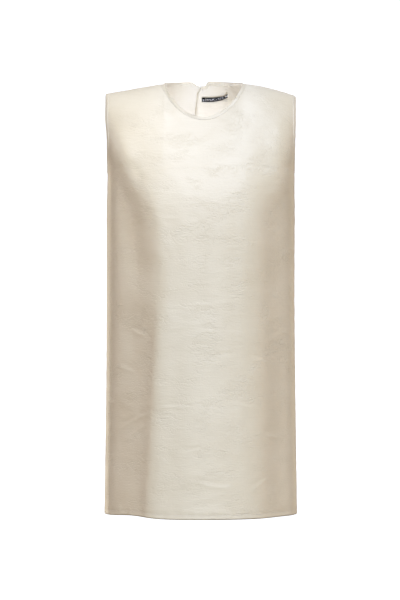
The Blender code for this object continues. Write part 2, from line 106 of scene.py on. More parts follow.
# Pleat-like breaks where the cloth turns sharply, sinks and comes back: two slopes between three soft hinges.
breakColumns = ("side", "topX", "topZ", "lowX", "lowZ", "fall", "rise", "depth", "soft")
breaks = (
    ("front", -0.098, -0.200, -0.060, -0.400, 0.064, 0.032, 0.0092, 0.0170),
    ("front", -0.0845, -0.450, -0.112, -0.900, 0.056, 0.034, 0.0058, 0.0022),
    ("front", 0.100, -0.230, 0.104, -0.930, 0.070, 0.020, 0.0050, 0.0170),
    ("back", -0.094, -0.240, -0.102, -0.930, 0.030, 0.040, 0.0026, 0.0040),
    ("back", 0.100, -0.220, 0.116, -0.930, 0.026, 0.036, 0.0028, 0.0035),
)
hemLifts = (("front", -0.135, 0.030, 0.0040), ("back", 0.120, 0.045, 0.0020))
sides = {
    "front": {"sign": -1, "fullDepth": 0.235, "rounding": 0.62, "ridgeRise": -0.015,
              "ridgeBend": 1.5, "armholeAngle": math.radians(58), "neckBend": 0.76},
    "back": {"sign": 1, "fullDepth": 0.135, "rounding": 0.42, "ridgeRise": 0.066,
             "ridgeBend": 1.4, "armholeAngle": math.radians(60), "neckBend": 0.75},
}

# Creases pressed or worn into the cloth: a run from start to end, how far it sags or bows in the middle,
# half width, and depth inwards. A negative depth is a ridge.
creaseColumns = ("side", "x0", "z0", "x1", "z1", "bow", "spread", "depth")
creases = (
    ("front", -0.090, -0.640, -0.022, -0.639, 0.0020, 0.0019, -0.0006),
    ("front", -0.165, -0.686, -0.084, -0.6445, 0.0030, 0.0027, -0.0010),
    ("front", -0.158, -0.712, -0.096, -0.668, 0.0020, 0.0024, -0.0007),
    ("front", 0.0577, -0.627, 0.110, -0.6410, -0.0020, 0.0020, -0.0006),
    ("front", 0.0927, -0.5434, 0.141, -0.5570, 0.0020, 0.0020, -0.0006),
    ("front", -0.011, -0.440, 0.016, -0.4405, 0.0010, 0.0018, -0.0006),
    ("front", -0.003, -0.489, 0.032, -0.4920, -0.0008, 0.0018, -0.0007),
    ("front", 0.047, -0.356, 0.061, -0.3630, 0.0006, 0.0017, -0.0005),
    ("front", -0.078, -0.324, -0.060, -0.360, 0.0030, 0.0036, 0.0003),
    ("front", -0.020, -0.780, 0.0636, -0.794, -0.0030, 0.0024, -0.0007),
    ("front", 0.0966, -0.802, 0.134, -0.779, 0.0010, 0.0024, -0.0006),
    ("front", -0.137, -0.487, -0.106, -0.4990, -0.0040, 0.0022, -0.0008),
    ("front", -0.120, -0.232, -0.086, -0.330, 0.0060, 0.0060, 0.0003),
    ("front", -0.150, -0.150, -0.110, -0.215, 0.0040, 0.0054, 0.0008),
    ("front", 0.165, -0.165, 0.120, -0.225, 0.0040, 0.0054, 0.0004),
    ("front", -0.170, -0.560, -0.130, -0.575, 0.0020, 0.0027, -0.0007),
    ("front", 0.140, -0.420, 0.172, -0.445, 0.0020, 0.0027, -0.0006),
    ("front", 0.120, -0.690, 0.165, -0.700, -0.0030, 0.0027, -0.0007),
    ("front", 0.020, -0.540, 0.062, -0.533, 0.0020, 0.0025, 0.0004),
    ("front", -0.040, -0.720, 0.004, -0.712, -0.0020, 0.0025, 0.0004),
    ("back", -0.140, -0.210, -0.090, -0.320, 0.0060, 0.0050, 0.0009),
    ("back", 0.150, -0.200, 0.085, -0.330, -0.0060, 0.0050, 0.0010),
    ("back", -0.110, -0.520, -0.050, -0.512, 0.0030, 0.0029, 0.0007),
    ("back", 0.030, -0.610, 0.096, -0.622, -0.0030, 0.0029, 0.0008),
    ("back", -0.090, -0.700, -0.030, -0.690, 0.0030, 0.0029, 0.0006),
    ("back", 0.060, -0.420, 0.120, -0.434, 0.0020, 0.0032, 0.0007),
    ("back", -0.160, -0.640, -0.120, -0.672, 0.0020, 0.0032, 0.0008),
    ("back", 0.110, -0.740, 0.160, -0.720, 0.0020, 0.0032, 0.0007),
)


def sectionValue(name, z):
    # column of the section table at height z, on a cubic through its rows
    knots = sections[:, 0]
    values = sections[:, sectionColumns.index(name)]
    slopes = np.gradient(values, knots)
    z = np.clip(z, knots[0], knots[-1])
    i = np.clip(np.searchsorted(knots, z) - 1, 0, len(knots) - 2)
    step = knots[i + 1] - knots[i]
    u = (z - knots[i]) / step
    start = values[i] * (1 + 2 * u) + slopes[i] * step * u
    end = values[i + 1] * (3 - 2 * u) - slopes[i + 1] * step * (1 - u)
    return start * (1 - u) ** 2 + end * u ** 2


def smoothStep(u):
    u = np.clip(u, 0, 1)
    return u * u * (3 - 2 * u)


def withinNeck(x):
    # 1 in the middle of the neck, 0 at the shoulder seams
    return np.clip(1 - ((x - cut["neckShift"]) / cut["neckHalfWidth"]) ** 2, 0, None)


def shoulderHeight(side, x):
    corner = cut["neckHalfWidth"] + np.sign(x) * cut["neckShift"]
    beyond = np.clip(np.abs(x) - corner, 0, None) / (cut["shoulderHalfWidth"] - corner)
    drop, bend = np.where(x < 0, *cut["shoulderDrop"]), np.where(x < 0, *cut["shoulderBend"])
    return sides[side]["ridgeRise"] * withinNeck(x) ** sides[side]["ridgeBend"] - drop * beyond ** bend


def necklineHeight(side, x):
    rise = withinNeck(x) ** sides[side]["neckBend"]
    if side == "front":
        return -cut["neckDepthFront"] * rise
    start, end = cut["notchFrom"], cut["notchTo"]
    notch = smoothStep((x - start[0]) / start[1]) * smoothStep((end[0] - x) / end[1])
    return cut["neckRiseBack"] * rise - cut["notchDepth"] * notch


def squareReach(angle, square):
    # reach of a squared ellipse over a plain one: (|sin|^n + |cos|^n)^(-1/n)
    return (np.abs(np.sin(angle)) ** square + np.abs(np.cos(angle)) ** square) ** (-1 / square)


def armholeAngle(side, z):
    # where the armhole cuts the section: 90 degrees below the underarm, its least above the turn
    top, low = cut["armholeTopZ"], cut["underarmZ"]
    down = np.clip((top - z) / (top - low), 0, 1)
    turn = np.clip((down - cut["armholeTurn"]) / (1 - cut["armholeTurn"]), 0, 1)
    least = sides[side]["armholeAngle"]
    return least + (math.pi / 2 - least) * (1 - np.sqrt(1 - turn * turn))


def sideEase(hand, z):
    return 1 + np.where(hand < 0, cut["rightEase"] * smoothStep((z + 0.115) / 0.05), 0)


def fullHalfWidth(side, z):
    angle = armholeAngle(side, z)
    reach = squareReach(angle, sectionValue(side + "Square", z))
    return sectionValue("halfWidth", z) / (reach * np.sin(angle))


def bell(distance, spread):
    return np.exp(-0.5 * (distance / spread) ** 2)


foldFade = 0.10     # how far a fold takes to come up at each end
hingeSoft = 0.009   # how softly a break turns at its bottom and where it ends


def rowsOf(side, table, columns):
    return [dict(zip(columns, row)) for row in table if row[0] == side]


def foldRun(fold, z):
    # where the fold lies at height z, and 1 along it with both ends faded
    down = np.clip((fold["topZ"] - z) / (fold["topZ"] - fold["lowZ"]), 0, 1)
    ends = smoothStep((fold["topZ"] - z) / foldFade + 0.5) * smoothStep((z - fold["lowZ"]) / foldFade + 0.5)
    return fold["topX"] + (fold["lowX"] - fold["topX"]) * down, ends


def foldHeight(side, x, z, table=folds):
    # sum of one bell across each fold: height e^(-(x - middle)^2 / 2 spread^2)
    total = np.zeros_like(x)
    for fold in rowsOf(side, table, foldColumns):
        middle, ends = foldRun(fold, z)
        total += fold["height"] * ends * bell(x - middle, fold["spread"])
    return total


def hinge(past, soft):
    # 0 before the hinge and the way past it after, turning softly: w ln(1 + e^(t / w))
    return soft * np.logaddexp(0, past / soft)


def breakDepth(side, x, z):
    # falls by depth (h(t) - h(t - fall)) / fall and comes back over the rise in the same way, h the hinge
    total = np.zeros_like(x)
    for fold in rowsOf(side, breaks, breakColumns):
        start, ends = foldRun(fold, z)
        past = np.sign(start) * (x - start)
        first, bottom = hinge(past, fold["soft"]), hinge(past - fold["fall"], hingeSoft)
        last = hinge(past - (fold["fall"] + fold["rise"]), hingeSoft)
        total -= fold["depth"] * ends * ((first - bottom) / fold["fall"] - (bottom - last) / fold["rise"])
    return total


def skinPoint(side, angle, z):
    # superellipse section whose depth grows from the shoulder line down
    facts = sides[side]
    reach = squareReach(angle, sectionValue(side + "Square", z))
    x = fullHalfWidth(side, z) * sideEase(angle, z) * reach * np.sin(angle)
    line = shoulderHeight(side, x)
    rounding = (np.clip(line - z, 0, None) / (line + facts["fullDepth"])) ** facts["rounding"]
    rounding = rounding / (1 + rounding ** 14) ** (1 / 14)
    depth = sectionValue(side + "Depth", z) * reach * np.abs(np.cos(angle)) * rounding
    depth += foldHeight(side, x, z) * smoothStep(np.abs(np.cos(angle)) / 0.35)
    return np.stack([x, facts["sign"] * depth, z], axis=-1)


def angleAt(side, x, z):
    square = sectionValue(side + "Square", z)
    full = fullHalfWidth(side, z) * sideEase(x, z)
    share = np.clip(np.abs(x) / full, 1e-6, 1 - 1e-9)
    return np.sign(x) * np.arctan((share ** -square - 1) ** (-1 / square))


def hemHeight(side, x):
    lift = sum(h * np.exp(-0.5 * ((x - at) / spread) ** 2) for s, at, spread, h in hemLifts if s == side)
    return lift - cut["length"]


def runAlong(points, axis):
    # length so far down the rows (axis 0) or across the columns (axis 1)
    first = points[:, :1] if axis else points[:1]
    return np.cumsum(np.linalg.norm(np.diff(points, axis=axis, prepend=first), axis=-1), axis=axis)


def evenAlong(points, shares):
    # shares of a fine curve's run that lie at these shares of its length
    run = runAlong(points, 0)
    return np.interp(shares, run / run[-1], np.linspace(0, 1, len(points)))


def sampled(values, run, at):
    return np.stack([np.interp(at, run, values[:, k]) for k in range(3)], axis=-1)


def unit(vectors):
    return vectors / np.maximum(np.linalg.norm(vectors, axis=-1, keepdims=True), 1e-12)


def gridNormals(points, outward):
    across, up = np.gradient(points, axis=1), np.gradient(points, axis=0)
    normals = unit(np.cross(across, up))
    return -normals if np.sum(normals * outward) < 0 else normals


def noise(u, v, seed):
    # smooth value noise from -1 to 1 with one cell a unit
    values = np.random.RandomState(seed).uniform(-1, 1, (257, 257))
    iu, iv = np.floor(u).astype(int), np.floor(v).astype(int)
    fu, fv = smoothStep(u - iu), smoothStep(v - iv)
    a, b = values[iu % 257, iv % 257], values[(iu + 1) % 257, iv % 257]
    c, d = values[iu % 257, (iv + 1) % 257], values[(iu + 1) % 257, (iv + 1) % 257]
    return (a * (1 - fu) + b * fu) * (1 - fv) + (c * (1 - fu) + d * fu) * fv


def creaseDepth(side, x, z):
    # a soft trough along each run, with a lower shoulder beside it, fading at both ends
    total = np.zeros_like(x)
    for crease in rowsOf(side, creases, creaseColumns):
        run = np.array((crease["x1"] - crease["x0"], crease["z1"] - crease["z0"]))
        length = np.hypot(*run)
        dx, dz = x - crease["x0"], z - crease["z0"]
        along = (dx * run[0] + dz * run[1]) / length ** 2
        aside = (dz * run[0] - dx * run[1]) / length - crease["bow"] * 4 * along * (1 - along)
        spread = crease["spread"] * (1 + 0.25 * noise(along * 3, along * 0 + length * 90, 5))
        fade = smoothStep(along / 0.35 + 0.15) * smoothStep((1 - along) / 0.35 + 0.15)
        shoulder = bell(aside - 2.3 * spread, 1.3 * spread)
        total += crease["depth"] * fade * (0.55 * shoulder - bell(aside, spread))
    return total


crinkle = {"long": 0.00024, "short": 0.00011, "ripple": 0.00020}


def crinkleHeight(s, z, seed):
    # fine washed-in crinkles that run across the cloth, in patches
    patch = 0.55 + 0.45 * noise(s / 0.09, z / 0.07, seed)
    bend = 0.006 * noise(s / 0.05, z / 0.04, seed + 1)
    long = 1 - 2 * np.abs(noise(s / 0.040, (z + bend) / 0.012, seed + 2))
    short = noise(s / 0.016, (z + bend) / 0.0052, seed + 3)
    slant = noise((s + 0.5 * z) / 0.020, (z - 0.4 * s) / 0.030, seed + 4)
    return patch * (crinkle["long"] * long + crinkle["short"] * short) + crinkle["ripple"] * slant


shell = {
    "thickness": 0.0008,
    "neckColumns": 34,
    "shoulderColumns": 40,
    "upperRows": 62,
    "lowerRows": 250,
    "edgeFade": 0.02,       # folds and crinkles flatten this close to the side seams and armholes
    "edgeShare": 0.25,      # to this share of their height
}
seam = {"groove": 0.0007, "grooveWidth": 0.0022, "pucker": 0.00036, "puckerReach": 0.012}
hem = {"turnDepth": 0.009, "turnRadius": 0.0016, "bendRows": 6, "pull": 0.0006, "pullReach": 0.007,
       "stitchUp": 0.0085, "groove": 0.0007, "grooveWidth": 0.0013}


def panelGrid(side, half):
    # rows from the hem up, columns across, all on skinPoint
    neckCount, count = shell["neckColumns"], shell["neckColumns"] + shell["shoulderColumns"]
    steps = np.arange(0 if half else -count, count + 1) * (half or 1)
    share = steps / count
    sign = np.where(steps < 0, -1, 1)
    start = 0 if half else cut["neckShift"]
    corner = cut["neckShift"] + sign * cut["neckHalfWidth"]
    neckShare = np.empty(len(steps))
    for hand in (-1, 1):
        fineX = np.linspace(start, cut["neckShift"] + hand * cut["neckHalfWidth"], 1500)
        fineZ = necklineHeight(side, fineX)
        neckLine = skinPoint(side, angleAt(side, fineX, fineZ), fineZ)
        along = evenAlong(neckLine, np.linspace(0, 1, neckCount + 1))
        neckShare[sign == hand] = along[np.minimum(np.abs(steps), neckCount)[sign == hand]]
    past = np.clip(np.abs(steps) - neckCount, 0, None) / shell["shoulderColumns"]
    topX = start + neckShare * (corner - start) + past * (sign * cut["shoulderHalfWidth"] - corner)
    inNeck = np.abs(steps) < neckCount
    topZ = np.where(inNeck, necklineHeight(side, topX), shoulderHeight(side, topX))
    # columns gather at the side so that the seam there has its own narrow ones
    gathered = np.sign(share) * (1 - (1 - np.abs(share)) * (1 - 0.65 * np.abs(share) ** 14))

    def plainAngle(z):
        spare = math.pi / 2 - armholeAngle(side, z)
        return np.sign(share) * (math.pi / 2 * np.abs(gathered) - spare * gathered ** 2)

    topShift = angleAt(side, topX, topZ) - plainAngle(topZ)
    level = skinPoint(side, plainAngle(cut["underarmZ"] + 0 * share), 0 * share - cut["length"])
    bottomZ = hemHeight(side, level[:, 0])
    low = np.linspace(0, 1, shell["lowerRows"] + 1)[:-1, None]
    lowZ = bottomZ * (1 - low) + cut["underarmZ"] * low
    fineZ = np.linspace(cut["underarmZ"], cut["armholeTopZ"], 1500)
    edge = skinPoint(side, armholeAngle(side, fineZ), fineZ)
    up = evenAlong(edge, np.linspace(0, 1, shell["upperRows"] + 1))[:, None]
    upZ = cut["underarmZ"] * (1 - up) + topZ * up
    z = np.concatenate([lowZ, upZ])
    angle = plainAngle(z) + np.concatenate([0 * lowZ, up * topShift])
    points = skinPoint(side, angle, z)
    if half:
        points[..., 0] += half * centreGap(points[:, :1, 2]) * (1 - np.abs(share)) ** 12
    return underlap(points, np.abs(share)) if half == 1 else points


def underlap(points, share):
    # the slit edge moved on past the centre, widest halfway down the slit, and in behind the other back
    z, top = points[:, :1, 2], cut["neckRiseBack"]
    down = np.clip((top - cut["notchDepth"] - z) / (top - cut["slitBottomZ"]), 0, 1)
    bulge = 0.35 + 0.65 * np.sin(math.pi * down) ** 0.8
    lap = smoothStep(down / 0.10) * bulge * smoothStep((1 - down) / 0.15)
    moved = points.copy()
    moved[..., 0] -= cut["lapWidth"] * (1 - share) ** 14 * lap
    moved[..., 1] -= cut["lapDepth"] * smoothStep((0.004 - moved[..., 0]) / 0.006) * smoothStep(lap / 0.2)
    return moved


def centreGap(z):
    # half the gap between the backs: closed seam below, a slit above that opens out at its top
    down = np.clip((cut["neckRiseBack"] - z) / (cut["neckRiseBack"] - cut["slitBottomZ"]), 0, 1)
    widest = cut["slitGap"] / 2 * np.sin(math.pi * down) ** 0.7
    atTop = (cut["slitTopGap"] - cut["slitGap"]) / 2 * np.clip(1 + z / cut["slitTopLength"], 0, None) ** 2
    return 0.00005 + widest + atTop


def turnedUnder(points, normals):
    # rows that go from inside up the allowance, down it and round the fold to the first row
    radius, count = hem["turnRadius"], hem["bendRows"]
    steps = max(2, int(round(hem["turnDepth"] / np.linalg.norm(points[1] - points[0], axis=-1).mean())))
    down = unit(points[0] - points[1])
    back = normals[1:steps + 1][::-1]
    inside = points[1:steps + 1][::-1] - back * 2 * radius
    theta = np.linspace(math.pi, 0, count + 1)[:-1, None, None]
    centre = points[0] - normals[0] * radius - down * radius
    bend = centre + normals[0] * radius * np.cos(theta) + down * radius * np.sin(theta)
    out = np.concatenate([back, np.repeat(normals[:1], count, 0), normals])
    return np.concatenate([inside, bend, points]), out


def makeMesh(name, points, faces, material, uv=None):
    mesh = bpy.data.meshes.new(name)
    mesh.vertices.add(len(points))
    mesh.vertices.foreach_set("co", points.astype(np.float32).ravel())
    faces = np.asarray(faces, np.int32)
    mesh.loops.add(faces.size)
    mesh.loops.foreach_set("vertex_index", faces.ravel())
    mesh.polygons.add(len(faces))
    mesh.polygons.foreach_set("loop_start", np.arange(0, faces.size, faces.shape[1], dtype=np.int32))
    mesh.update(calc_edges=True)
    mesh.polygons.foreach_set("use_smooth", np.ones(len(faces), bool))
    if uv is not None:
        layer = mesh.uv_layers.new(name="cloth")
        layer.data.foreach_set("uv", uv[faces.ravel()].astype(np.float32).ravel())
    mesh.materials.append(material)
    made = bpy.data.objects.new(name, mesh)
    bpy.context.scene.collection.objects.link(made)
    return made


def gridFaces(rows, columns, closeRows=False, closeColumns=False):
    i = np.arange(rows if closeRows else rows - 1)[:, None]
    j = np.arange(columns if closeColumns else columns - 1)[None]
    a, b = i * columns + j, i * columns + (j + 1) % columns
    c, d = (i + 1) % rows * columns + (j + 1) % columns, (i + 1) % rows * columns + j
    return np.stack([a, b, c, d], axis=-1).reshape(-1, 4)


def outwardFaces(points, faces, outward):
    # flips every face where most of them look inwards
    corner = points[faces]
    normal = np.cross(corner[:, 2] - corner[:, 0], corner[:, 3] - corner[:, 1])
    return faces[:, ::-1] if np.sum(normal * outward[faces[:, 0]]) < 0 else faces


def makeShell(name, points, normals, material, thickness, closeRows=False, uvFrom=(0.0, 0.0)):
    # a sheet of the outer face's points, given its thickness inwards
    rows, columns = points.shape[:2]
    flat, across = points.reshape(-1, 3), runAlong(points, 1)
    across -= across[:, columns // 2, None]
    uv = np.stack([across, runAlong(points, 0)], axis=-1).reshape(-1, 2) + uvFrom
    faces = outwardFaces(flat, gridFaces(rows, columns, closeRows), normals.reshape(-1, 3))
    made = makeMesh(name, flat, faces, material, uv)
    solid = made.modifiers.new("thickness", "SOLIDIFY")
    solid.thickness, solid.offset = thickness, -1
    solid.use_even_offset = False
    return made


def seamPull(points, half):
    # how far the cloth dips into its side and shoulder seams, and puckers along the side seams
    run = runAlong(points, 1)
    edges = [run[:, -1:] - run] + ([] if half else [run])
    pastNeck = np.abs(points[-1, :, 0] - cut["neckShift"]) >= cut["neckHalfWidth"] - 1e-6
    dip = sum(bell(distance, seam["grooveWidth"]) for distance in edges)
    dip = dip + bell(points[-1:, :, 2] - points[..., 2], seam["grooveWidth"]) * pastNeck
    pucker = np.exp(-np.minimum.reduce(edges) / seam["puckerReach"])
    pucker = pucker * noise(points[..., 2] / 0.009, points[..., 0] * 20, 31)
    return seam["pucker"] * pucker - seam["groove"] * dip


def hemPull(points):
    # the hem's stitching draws the cloth into small upright puckers, over a faint groove where the turn ends
    up, run = points[..., 2] - points[:1, :, 2], runAlong(points[:1], 1)
    waves = noise(run / 0.010, up / 0.03, 41) + 0.6 * noise(run / 0.024, up / 0.05, 42)
    near = bell(up - hem["turnDepth"], hem["pullReach"])
    return hem["pull"] * waves * near - hem["groove"] * bell(up - hem["stitchUp"], hem["grooveWidth"])


def edgeDistance(points, column):
    # least distance from each point to the panel's edge column: min sqrt(|p|^2 + |e|^2 - 2 p.e)
    flat, edge = points.reshape(-1, 3), points[::2, column]
    squares = (flat ** 2).sum(axis=1)[:, None] + (edge ** 2).sum(axis=1) - 2 * flat @ edge.T
    return np.sqrt(np.maximum(squares.min(axis=1), 0)).reshape(points.shape[:2])


def clothPanel(name, side, half, material, seed):
    # the smooth grid moved out along its normals by everything that lies on it, then turned up at the hem
    smooth = panelGrid(side, half)
    outward = smooth * (1, 1, 0)
    x, z = smooth[..., 0], smooth[..., 2]
    height = creaseDepth(side, x, z) + crinkleHeight(runAlong(smooth, 1), z, seed) + hemPull(smooth)
    height += foldHeight(side, x, z, softFolds) + breakDepth(side, x, z)
    edge = np.minimum.reduce([edgeDistance(smooth, column) for column in ((-1,) if half else (0, -1))])
    height *= shell["edgeShare"] + (1 - shell["edgeShare"]) * smoothStep(edge / shell["edgeFade"])
    height += seamPull(smooth, half)
    outer = smooth + gridNormals(smooth, outward) * height[..., None]
    normals = gridNormals(outer, outward)
    ownPatch = (0.013 * seed, 0.029 * seed)     # so that no two panels have the same crinkles
    made = makeShell(name, *turnedUnder(outer, normals), material, shell["thickness"], uvFrom=ownPatch)
    return {"object": made, "outer": outer, "normals": normals, "half": half}


def layOn(queries, skins, lift):
    # each point moved onto the nearest skin and out by lift: q - ((q - v) . n) n, v the nearest vertex
    points = np.concatenate([s["outer"].reshape(-1, 3) for s in skins])
    normals = np.concatenate([s["normals"].reshape(-1, 3) for s in skins])
    flat = queries.reshape(-1, 3)
    low, high = flat.min(axis=0) - 0.02, flat.max(axis=0) + 0.02
    near = ((points > low) & (points < high)).all(axis=1)
    points, normals = points[near], normals[near]
    chosen = np.concatenate([
        np.argmin((points ** 2).sum(axis=1) - 2 * part @ points.T, axis=1)
        for part in np.array_split(flat, len(flat) // 150 + 1)
    ])
    v, n = points[chosen], normals[chosen]
    placed = flat - np.sum((flat - v) * n, axis=1, keepdims=True) * n
    lift = np.broadcast_to(lift, queries.shape[:-1]).reshape(-1, 1)
    return (placed + n * lift).reshape(queries.shape), n.reshape(queries.shape)


def resample(points, count, closed=False):
    # the polyline at even steps
    ring = np.concatenate([points, points[:1]]) if closed else points
    run = runAlong(ring, 0)
    at = np.linspace(0, run[-1], count + 1)[:-1] if closed else np.linspace(0, run[-1], count)
    return sampled(ring, run, at)


binding = {"width": 0.0066, "thickness": 0.0005, "lift": 0.00044, "innerLift": 0.00036, "rim": 0.00100,
           "ripple": 0.00015,
           # share of the width from the edge, and of the lift
           "outerLeg": ((1.0, 0.22), (0.86, 0.75), (0.6, 1.0), (0.35, 1.05), (0.12, 1.05)),
           "innerLeg": ((0.12, 1.05), (0.35, 1.0), (0.6, 1.0), (0.86, 0.95), (1.0, 0.55))}


def bindEdge(name, edge, closed, panels, material, seed):
    # a strip folded over a cloth edge: outer leg, round rim, inner leg
    normals = layOn(edge, panels, 0.0)[1]
    if closed:
        along = np.roll(edge, -1, axis=0) - np.roll(edge, 1, axis=0)
    else:
        along = np.gradient(edge, axis=0)
    for _ in range(6):      # smooths the frame where the panels meet
        soft = (np.roll(normals, 1, 0) + 2 * normals + np.roll(normals, -1, 0)) / 4
        normals = unit(soft if closed else np.concatenate([normals[:1], soft[1:-1], normals[-1:]]))
    away = unit(np.cross(along, normals))
    if np.sum(away * (edge - edge.mean(axis=0))) < 0:
        away = -away
    u = np.arange(len(edge)) * np.linalg.norm(np.diff(edge, axis=0), axis=1).mean()
    wave = binding["ripple"] * (noise(u / 0.007, u * 0, seed) + 0.7 * noise(u / 0.018, u * 0 + 3, seed))
    wall = shell["thickness"]

    def laid(width, lift):
        return layOn(edge + away * binding["width"] * width, panels, lift)[0]

    profile = [laid(w, share * binding["lift"] + wave * (0.4 + w)) for w, share in binding["outerLeg"]]
    for theta in np.radians(np.linspace(80, -80, 7)):
        rim = normals * math.sin(theta) - away * math.cos(theta)
        profile.append(edge - normals * wall / 2 + binding["rim"] * rim)
    profile += [laid(w, wave * 0.3 - wall - share * binding["innerLift"]) for w, share in binding["innerLeg"]]
    strip = np.stack(profile, axis=1)
    middle = (edge + away * binding["width"] / 2 - normals * wall / 2)[:, None]
    made = makeShell(name, strip, strip - middle, material, binding["thickness"], closeRows=closed)
    return {"object": made, "strip": strip, "normals": normals}


stitch = {"length": 0.0025, "gap": 0.0007, "radius": 0.00021, "uneven": 0.00012, "skew": 0.0001}


def ringsRound(centre, first, second, radius, count):
    # rings of points about each centre: c + r (a cos t + b sin t)
    theta = np.linspace(0, 2 * math.pi, count + 1)[:-1, None]
    around = first[..., None, :] * np.cos(theta) + second[..., None, :] * np.sin(theta)
    return centre[..., None, :] + np.asarray(radius)[..., None, None] * around


def stitchRow(name, path, normals, material, seed):
    # one little sunk loop of thread a stitch: radius r sqrt(1 - t^4), raised by an arc along its length
    run, random = runAlong(path, 0), np.random.RandomState(seed)
    count = int(run[-1] / (stitch["length"] + stitch["gap"]))
    shift = random.uniform(-stitch["uneven"], stitch["uneven"], count)
    t = np.linspace(-1, 1, 7)
    at = ((np.arange(count) + 0.5) * run[-1] / count + shift)[:, None] + t * stitch["length"] / 2
    spine, out = sampled(path, run, at), unit(sampled(normals, run, at))
    beside = unit(np.cross(unit(np.gradient(spine, axis=1)), out))
    skew = random.uniform(-stitch["skew"], stitch["skew"], (count, 1, 1)) * t[None, :, None]
    arc = ((1 - t ** 2) * 1.1 - 0.75)[None, :, None] * stitch["radius"]
    spine = spine + out * arc + beside * skew
    tube = ringsRound(spine, out, beside, stitch["radius"] * np.sqrt(1.02 - t ** 4), 6)
    one = gridFaces(*tube.shape[1:3], closeColumns=True)
    faces = (one[None] + (np.arange(count) * len(t) * tube.shape[2])[:, None, None]).reshape(-1, 4)
    faces = outwardFaces(tube.reshape(-1, 3), faces, (tube - spine[:, :, None]).reshape(-1, 3))
    return makeMesh(name, tube.reshape(-1, 3), faces, material)


def newMaterial(name):
    material = bpy.data.materials.new(name)
    material.use_nodes = True
    return material, material.node_tree, material.node_tree.nodes["Principled BSDF"]


def fill(tree, node, values):
    # sets a node's inputs by name or number, or links them where the value is another node's output
    for key, value in values.items():
        if isinstance(value, bpy.types.NodeSocket):
            tree.links.new(value, node.inputs[key])
        else:
            node.inputs[key].default_value = value


def addNode(tree, kind, values, **settings):
    node = tree.nodes.new(kind)
    for key, value in settings.items():
        setattr(node, key, value)
    fill(tree, node, values)
    return node


def stretchedNoise(tree, source, scale, detail, rough=0.5, warp=0.0, turn=0.0):
    place = addNode(tree, "ShaderNodeMapping", {"Vector": source, "Scale": scale, "Rotation": (0, 0, turn)})
    values = {"Vector": place.outputs["Vector"], "Scale": 1.0, "Detail": detail, "Roughness": rough}
    return addNode(tree, "ShaderNodeTexNoise", {**values, "Distortion": warp}).outputs["Fac"]


def calc(tree, operation, *values):
    return addNode(tree, "ShaderNodeMath", dict(enumerate(values)), operation=operation).outputs[0]


def ramp(tree, value, low, high, start=0.0, end=1.0, kind="SMOOTHSTEP"):
    values = {"Value": value, "From Min": low, "From Max": high, "To Min": start, "To Max": end}
    return addNode(tree, "ShaderNodeMapRange", values, interpolation_type=kind).outputs["Result"]


def mixed(tree, factor, first, second):
    values = {"Factor": factor, "A": first, "B": second}
    return addNode(tree, "ShaderNodeMix", values, data_type="RGBA").outputs["Result"]


def raised(tree, height, depth, strength, under=None):
    values = {"Height": height, "Distance": depth, "Strength": strength}
    if under is not None:
        values["Normal"] = under
    return addNode(tree, "ShaderNodeBump", values).outputs["Normal"]


clothLook = {
    "pale": (0.765, 0.668, 0.482, 1),
    "deep": (0.690, 0.588, 0.402, 1),
    "roughness": 0.56,
    "specular": 1.0,
    "satin": (0.70, 0.25),      # how long the highlight is drawn out, and its turn: 0.25 is along the warp
    # noise stretched along the cloth's run and rise, in cells a metre
    "slubs": (22, 1150, 1),
    "warp": (1500, 18, 1),
    "crepe": (85, 330, 1),
    "clouds": (9, 16, 1),
    "patches": (16, 22, 1),     # where the crinkles gather
    "threadDepth": 0.00022,
    "crepeDepth": 0.0008,
    # scale of the field, its warp, half width of a line in its values, height in metres
    "crinkles": (((30, 62, 1), 2.2, 0.060, 0.00021), ((66, 150, 1), 1.6, 0.095, 0.00013)),
    "crinkleTurn": 0.12,
}
biasLook = {**clothLook, "pale": (0.760, 0.663, 0.480, 1), "deep": (0.690, 0.592, 0.410, 1)}


def clothMaterial(name, look, relief=1.0):
    # slubs and warp threads raised on two tones, with a crepe and crinkles over them
    material, tree, shader = newMaterial(name)
    uv = addNode(tree, "ShaderNodeUVMap", {}, uv_map="cloth").outputs["UV"]
    slub = stretchedNoise(tree, uv, look["slubs"], 3, 0.55)
    warp = stretchedNoise(tree, uv, look["warp"], 2)
    crepe = stretchedNoise(tree, uv, look["crepe"], 4, 0.6)
    cloud = stretchedNoise(tree, uv, look["clouds"], 3)
    shade = ramp(tree, calc(tree, "MULTIPLY_ADD", slub, 0.9, cloud), 0.55, 1.35, kind="LINEAR")
    normal = raised(tree, calc(tree, "ADD", slub, warp), look["threadDepth"], 0.35 * relief)
    normal = raised(tree, crepe, look["crepeDepth"], 0.5 * relief, normal)
    gathered = ramp(tree, stretchedNoise(tree, uv, look["patches"], 2), 0.44, 0.60, 0.22)
    # thin crinkle lines run where a warped noise passes its middle value: min(|f - 0.5| / width, 1)
    for scale, bend, width, depth in look["crinkles"]:
        field = stretchedNoise(tree, uv, scale, 2, 0.45, bend, look["crinkleTurn"])
        away = calc(tree, "ABSOLUTE", calc(tree, "SUBTRACT", field, 0.5))
        normal = raised(tree, ramp(tree, away, 0.0, width), depth, gathered, normal)
    along = addNode(tree, "ShaderNodeTangent", {}, direction_type="UV_MAP", uv_map="cloth")
    fill(tree, shader, {
        "Base Color": mixed(tree, shade, look["deep"], look["pale"]),
        "Normal": normal, "Tangent": along.outputs["Tangent"],
        "Roughness": look["roughness"], "Specular IOR Level": look["specular"],
        "Anisotropic": look["satin"][0], "Anisotropic Rotation": look["satin"][1],
    })
    return material


def cloudedMaterial(name, first, second, scale, detail, rough, values):
    # two tones clouded into each other on the object's own coordinates
    material, tree, shader = newMaterial(name)
    where = addNode(tree, "ShaderNodeTexCoord", {}).outputs["Object"]
    tone = mixed(tree, stretchedNoise(tree, where, scale, detail, rough), first, second)
    fill(tree, shader, {"Base Color": tone, **values})
    return material, tree, shader, where


